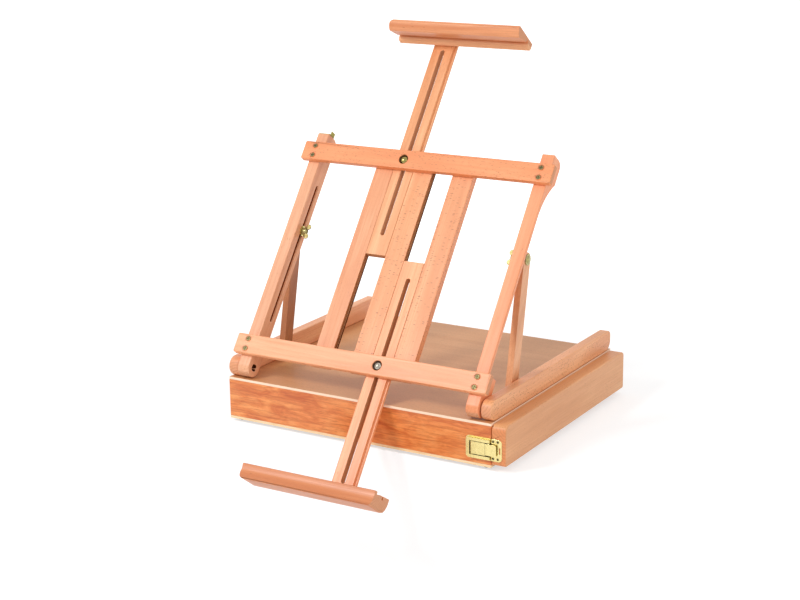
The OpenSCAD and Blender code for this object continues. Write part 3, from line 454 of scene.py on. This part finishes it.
def make_wood():
    """The varnished wood and the plywood, by the node that wears it."""
    quarter = {"rays": (6.0, 1.3), "share": 0.23, "fleck": "#9C5228"}
    panel = ("#EDAE83", "#E29E74", "#D38B62")
    return {
        "left_upright": beech(
            "beech_left_upright", "Z", ("#F4BB92", "#EDAC81", "#DC946A"),
            shift=(50.0, 0.0, 0.0), pith=(-90.0, 90.0), dark=upright_slot(-1)),
        "right_upright": beech(
            "beech_right_upright", "Z", ("#FBAB7A", "#F59E6D", "#E58B59"),
            shift=(90.0, 0.0, 30.0), pith=(310.0, 60.0), dark=upright_slot(1)),
        "lower_crossbar": beech(
            "beech_lower_crossbar", "X", ("#FAB687", "#F5A978", "#E79362"),
            shift=(31.0, 0.0, 70.0), pith=(90.0, -30.0), ring=4.6, hole=(30.2, 25.7)),
        "upper_crossbar": beech(
            "beech_upper_crossbar", "X", ("#FBA771", "#F49A63", "#E58851"),
            shift=(0.0, 17.0, 410.0), pith=(60.0, 340.0), rays=(1.2, 4.8), share=0.24,
            hole=(-30.2, 317.0)),
        "left_guide_board": beech(
            "beech_left_board", "Z", ("#F3B285", "#EA9E6E", "#D98858"),
            shift=(7.0, 0.0, 200.0), pith=(-95.0, 40.0), ring=2.8, dark=grooved((-45.8, -1))),
        "middle_guide_board": beech(
            "beech_middle_board", "Z", ("#F9B582", "#F3A672", "#E5955F"),
            shift=(41.0, 0.0, 0.0), pith=(300.0, 10.0), dark=grooved((-14.6, 1), (14.6, -1)),
            **quarter),
        "right_guide_board": beech(
            "beech_right_board", "Z", ("#F8B37F", "#F0A270", "#E1905D"),
            shift=(0.0, 60.0, 90.0), pith=(-200.0, 70.0), dark=grooved((45.8, 1)), **quarter),
        # The walls of a mast's slot get painted shade, duller than its face, and no varnish
        "upper_mast": beech(
            "beech_upper_mast", "Z", ("#F9BE8A", "#F2AD7A", "#E39762"),
            shift=(11.0, 5.0, 300.0), pith=(-30.0, 50.0),
            dark=[((-33.6, -12.8, 207.0), (-26.8, -2.7, 490.4), "#D6A07A")]),
        "lower_mast": beech(
            "beech_lower_mast", "Z", ("#FDB783", "#F6A774", "#E79260"),
            shift=(77.0, 0.0, 0.0), pith=(130.0, 45.0),
            dark=[((26.8, -12.8, -132.4), (33.6, -2.7, 152.1), "#CC9068")]),
        # Painted light on the holder's lower strip, which faces down: paler than its face, without
        # varnish
        "top_holder": beech(
            "beech_holder", "X", ("#F3AC7B", "#E79A69", "#D07D4C"),
            shift=(0.0, 23.0, 0.0), pith=(40.0, 560.0),
            dark=[((-98.6, -25.6, 494.9), (102.2, -12.9, 501.0), "#FFC498", 0.7)]),
        "canvas_ledge": beech(
            "beech_ledge", "X", ("#E29564", "#DA8856", "#CA7545"),
            shift=(0.0, 40.0, 100.0), pith=(-90.0, -80.0)),
        # The left prop's colours are darker than the right's: painted shade, as its inner faces lie
        # in the frame's shadow
        "left_prop": beech("beech_left_prop_painted_shade", "Z", ("#BF7F4D", "#B37041", "#A36134")),
        "right_prop": beech(
            "beech_right_prop", "Z", ("#F8BE8F", "#EAAA7B", "#D79466"), shift=(20.0, 0.0, 0.0)),
        "drawer_front": beech(
            "beech_drawer_front", "Y", ("#EEB17A", "#E4A26D", "#D6935E"), False, end="#E5915A",
            shift=(60.0, 0.0, 0.0), pith=(310.0, 90.0), ring=4.2, rays=(1.3, 4.4), share=0.14),
        "left_rail": beech(
            "beech_left_rail", "Y", ("#FFC391", "#F8B182", "#E89D6D"), False, end="#E8A175",
            shift=(30.0, 0.0, 50.0), pith=(-150.0, 40.0)),
        "right_rail": beech(
            "beech_right_rail", "Y", ("#FBBD88", "#F1AC78", "#E19866"), False, end="#E8A278",
            shift=(80.0, 0.0, 0.0), pith=(230.0, 110.0), rays=(1.6, 3.4), share=0.22),
        "back_panel": beech("beech_back", "X", panel, False),
        "left_end_panel": beech("beech_left_end", "Y", panel, False),
        "front_panel": red_front(),
        "top_panel": plywood("beech_plywood_top", "#D79D6A", "#CB8F5C", "#FFE3C8", "#FFDCBC"),
        "bottom_panel": plywood("beech_plywood_bottom", "#D9AA80", "#CC9A70", "#FFE0B4",
                                "#EFC68E"),
        "drawer_bottom": plywood("thin_plywood", "#E8C69A", "#DBB585", "#F2D8AE", "#E2C08C"),
    }


def make_materials():
    """Every finish, by the node that wears it."""
    finish = make_wood()
    # The latch is thin brass, pressed and polished; its floor round the leaf is darkened with
    # painted shade
    finish["latch_base"] = metal("polished_brass_latch", "#E1D193", "#D5C483", 0.26,
                                 sunk=((0.1711, -0.1825, 0.0190), (0.21, -0.179, 0.0380)))
    finish["fold_catch"] = metal("aged_brass_catch", "#9A8E48", "#6E6432", 0.32, 3.0)
    finish["upper_clamp_bolt"] = metal("dull_brass_bolt", "#A99C5E", "#7C7040", 0.2, 3.0)
    screw = metal("dull_brass_screw", "#7C7350", "#585038", 0.42, 1.5)
    for n in ("crossbar_screws", "board_screws", "holder_screws", "ledge_screws", "catch_screws"):
        finish[n] = screw
    nut = metal("antique_brass_nut", "#B3A873", "#7D7348", 0.28, 3.0)
    for n in ("left_wing_nut", "right_wing_nut", "left_prop_bolt", "right_prop_bolt"):
        finish[n] = nut
    by_slot = {
        "drawer_wood": softwood(),
        "brass": metal("polished_brass_plate", "#E1D193", "#D5C483", 0.26),
        "bright_steel": metal("nickel_plated_steel", "#B5AEA2", "#958D80", 0.24),
        "dark_plastic": nylon(),
    }
    return {n: finish.get(n) or by_slot[SLOT_OF[n]] for n in frame["nodes"]}


# Pieces

def edge_eased(node, width, finish, segments):
    """A copy of a piece with its sharp edges taken off by width mm, and smooth normals."""
    source = frame["nodes"][node]
    mesh = bpy.data.meshes.new("eased_" + node)
    work = bmesh.new()
    work.from_mesh(source.data)
    bmesh.ops.remove_doubles(work, verts=work.verts, dist=1e-6)
    bmesh.ops.dissolve_limit(work, angle_limit=FLAT_WITHIN, verts=work.verts, edges=work.edges)
    work.to_mesh(mesh)
    work.free()
    mesh.polygons.foreach_set("use_smooth", [True] * len(mesh.polygons))
    mesh.materials.append(finish)
    piece = bpy.data.objects.new("eased_" + node, mesh)
    bpy.context.scene.collection.objects.link(piece)
    bevel = piece.modifiers.new("eased", "BEVEL")
    bevel.width = width * MM
    bevel.segments = segments
    bevel.limit_method = "ANGLE"
    bevel.angle_limit = EASED_FROM
    bevel.use_clamp_overlap = False
    weighted = piece.modifiers.new("weighted", "WEIGHTED_NORMAL")
    weighted.keep_sharp = True
    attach(piece, BODY_OF[node])
    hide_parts(node)


# Stage, light and camera

def place_camera():
    """The camera, turned by its yaw to the left of straight back, its pitch down and its roll."""
    yaw, pitch, roll = (math.radians(a) for a in (CAMERA_YAW, CAMERA_PITCH, CAMERA_ROLL))
    look = Vector((-math.sin(yaw) * math.cos(pitch), math.cos(yaw) * math.cos(pitch),
                   -math.sin(pitch)))
    right = Vector((math.cos(yaw), math.sin(yaw), 0))
    up = right.cross(look)
    turned_right = right * math.cos(roll) + up * math.sin(roll)
    turned_up = up * math.cos(roll) - right * math.sin(roll)
    turn = Matrix((turned_right, turned_up, -look)).transposed()
    data = bpy.data.cameras.new("camera")
    data.sensor_width = CAMERA_SENSOR
    data.lens = CAMERA_LENS
    camera = bpy.data.objects.new("camera", data)
    camera.matrix_world = Matrix.Translation(CAMERA_PLACE) @ turn.to_4x4()
    bpy.context.scene.collection.objects.link(camera)
    bpy.context.scene.camera = camera


def area_light(name, place, size, power):
    """A soft square lamp at place, turned to the easel."""
    data = bpy.data.lights.new(name, "AREA")
    data.size = size
    data.energy = power
    lamp = bpy.data.objects.new(name, data)
    lamp.location = place
    lamp.rotation_euler = (LAMP_TARGET - Vector(place)).to_track_quat("-Z", "Y").to_euler()
    bpy.context.scene.collection.objects.link(lamp)


def seen_directly(tree):
    """One for what the camera, a mirror or glass sees, nought for light on the object."""
    path = node_add(tree, "LightPath").outputs
    most = calc(tree, "MAXIMUM", path["Is Camera Ray"], path["Is Glossy Ray"])
    return calc(tree, "MAXIMUM", most, path["Is Transmission Ray"])


def make_stage():
    """A pale tabletop that ends under the box's front, since the ledge hangs before it, and a pale
    floor below the ledge's lowest reach. They fade to white away from the easel."""
    mesh = bpy.data.meshes.new("floor")
    rows = ((-STAGE_SIZE, FLOOR_Z), (TABLE_EDGE, FLOOR_Z), (TABLE_EDGE, TABLE_Z),
            (STAGE_SIZE, TABLE_Z))
    mesh.from_pydata([(x, y, z) for y, z in rows for x in (-STAGE_SIZE, STAGE_SIZE)],
                     [], [(i, i + 1, i + 3, i + 2) for i in (0, 2, 4)])
    floor = bpy.data.objects.new("floor", mesh)
    material, tree, shader = start_material("pale_paper_floor")
    seen = seen_directly(tree)
    put(tree, shader.inputs["Base Color"], mix(tree, seen, STAGE_LIGHTS, STAGE_SEEN))
    put(tree, shader.inputs["Roughness"], 0.9)
    put(tree, shader.inputs["Emission Color"], (1, 1, 1, 1))
    away = vector_calc(tree, "LENGTH", mapped(tree, object_place(tree), Scale=(1, 1, 0)))
    glow = ramp(tree, away, STAGE_GLOW)
    put(tree, shader.inputs["Emission Strength"], times(tree, glow, seen))
    mesh.materials.append(material)
    bpy.context.scene.collection.objects.link(floor)


def make_world():
    """A plain world that lights the easel softly, and is white where it is seen."""
    world = bpy.data.worlds.new("studio")
    world.use_nodes = True
    bpy.context.scene.world = world
    tree = world.node_tree
    background = tree.nodes["Background"]
    put(tree, background.inputs["Color"], (1, 1, 1, 1))
    more = times(tree, seen_directly(tree), 1 - WORLD_LIGHT)
    put(tree, background.inputs["Strength"], calc(tree, "ADD", more, WORLD_LIGHT))


# The whole easel
finishes = make_materials()
for name, obj in frame["nodes"].items():
    obj.data.materials.clear()
    obj.data.materials.append(finishes[name])
for widths, segments in ((EASED_WOOD, 2), (EASED_METAL, 3)):
    for name, width in widths.items():
        edge_eased(name, width, finishes[name], segments)
place_camera()
make_stage()
make_world()
for name, (place, size, power) in LAMPS.items():
    area_light(name, place, size, power)
bpy.context.scene.view_settings.view_transform = "Standard"
